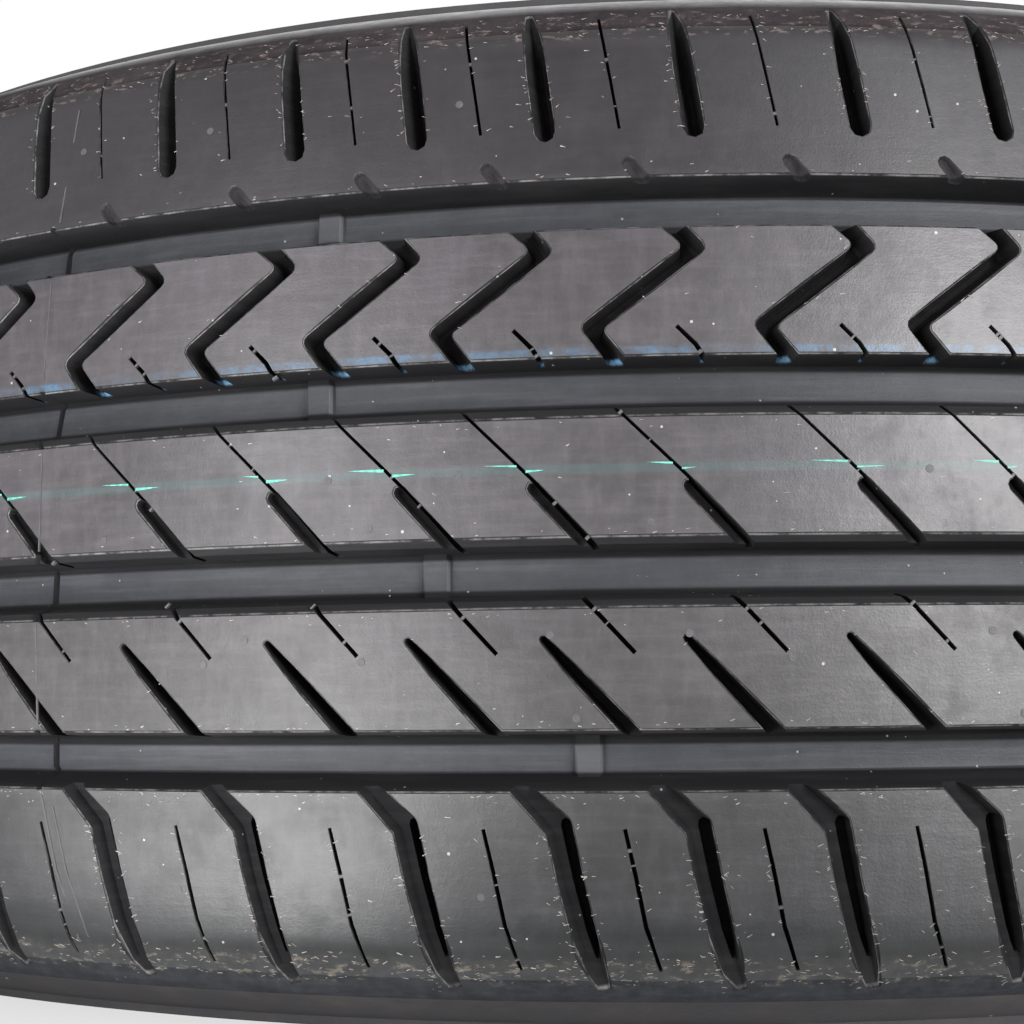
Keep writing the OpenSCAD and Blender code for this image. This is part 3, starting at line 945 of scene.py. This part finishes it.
# The camera sees it mostly as plain white, with the shadow weakened
white = node(tree, "Emission", {"Color": (1, 1, 1, 1), "Strength": 1})
seen = times(tree, node(tree, "LightPath").outputs["Is Camera Ray"], 0.7)
mixed = node(tree, "MixShader", {0: seen, 1: shader.outputs[0], 2: white.outputs[0]})
tree.links.new(mixed.outputs[0], tree.nodes["Material Output"].inputs["Surface"])
floor.data.materials.append(floor_paint)

# Light: a soft white room with a low window-like lamp on the left and a wide one on the right.
# A weak lamp stands over the right one, and a large one lights the back.
world = bpy.data.worlds.new("room")
bpy.context.scene.world = world
world.use_nodes = True
tree = world.node_tree
room = tree.nodes["Background"]
room.inputs["Color"].default_value = (0.92, 0.96, 1, 1)
room.inputs["Strength"].default_value = 0.25
white = node(tree, "Background", {"Color": (1, 1, 1, 1), "Strength": 1})
paths = node(tree, "LightPath").outputs
plain = maths(tree, "MAXIMUM", paths["Is Glossy Ray"], paths["Is Transmission Ray"])
plain = maths(tree, "MAXIMUM", paths["Is Camera Ray"], plain)
mixed = node(tree, "MixShader", {0: plain, 1: room.outputs[0], 2: white.outputs[0]})
tree.links.new(mixed.outputs[0], tree.nodes["World Output"].inputs["Surface"])
bpy.context.scene.view_settings.view_transform = "Standard"


def lamp(name, place, aim, width, height, watts):
    """A soft rectangular lamp at a place, turned to what it lights."""
    light = bpy.data.lights.new(name, "AREA")
    light.shape = "RECTANGLE"
    light.size = width
    light.size_y = height
    light.energy = watts
    made = bpy.data.objects.new(name, light)
    made.location = place
    made.rotation_euler = (Vector(aim) - Vector(place)).to_track_quat("-Z", "Y").to_euler()
    made.visible_camera = False
    bpy.context.scene.collection.objects.link(made)


lamp("left_lamp", (-0.66, -1.25, 0.13), (-0.05, -0.3, -0.02), 0.34, 0.46, 6)
lamp("right_lamp", (0.80, -1.22, 0.2), (0.05, -0.3, 0), 0.5, 0.56, 19)
lamp("upper_right_lamp", (0.62, -0.95, 0.75), (0.05, -0.3, 0.05), 0.4, 0.4, 2.2)
lamp("back_lamp", (0.4, 1.5, 0.45), (0, 0.3, 0), 0.9, 0.6, 16)
# A reflector lies on the floor at the left and throws light up at the lower shoulder
lamp("left_reflector", (-0.155, -0.49, -0.102), (-0.155, -0.49, 1), 0.17, 0.3, 1.6)

# Camera: a close view of the tread, from a little below its middle.
# The picture's width and the focal length are in pixels, and the turns are in degrees.
sensor = 36
picture_width = 1024
focal_length = 1500
camera_place = Vector((0, -0.57646, -0.0365))
yaw, pitch, roll = (math.radians(turn) for turn in (-4.09, 6.65, -0.62))
forward = Vector((math.sin(yaw) * math.cos(pitch), math.cos(yaw) * math.cos(pitch), math.sin(pitch)))
level = Vector((math.cos(yaw), -math.sin(yaw), 0))
right = math.cos(roll) * level + math.sin(roll) * level.cross(forward)
camera = bpy.data.objects.new("camera", bpy.data.cameras.new("camera"))
camera.data.sensor_width = sensor
camera.data.lens = focal_length / picture_width * sensor
camera.data.clip_start = 0.01
axes = Matrix((right, right.cross(forward), -forward)).transposed()
camera.matrix_world = Matrix.Translation(camera_place) @ axes.to_4x4()
bpy.context.scene.collection.objects.link(camera)
bpy.context.scene.camera = camera
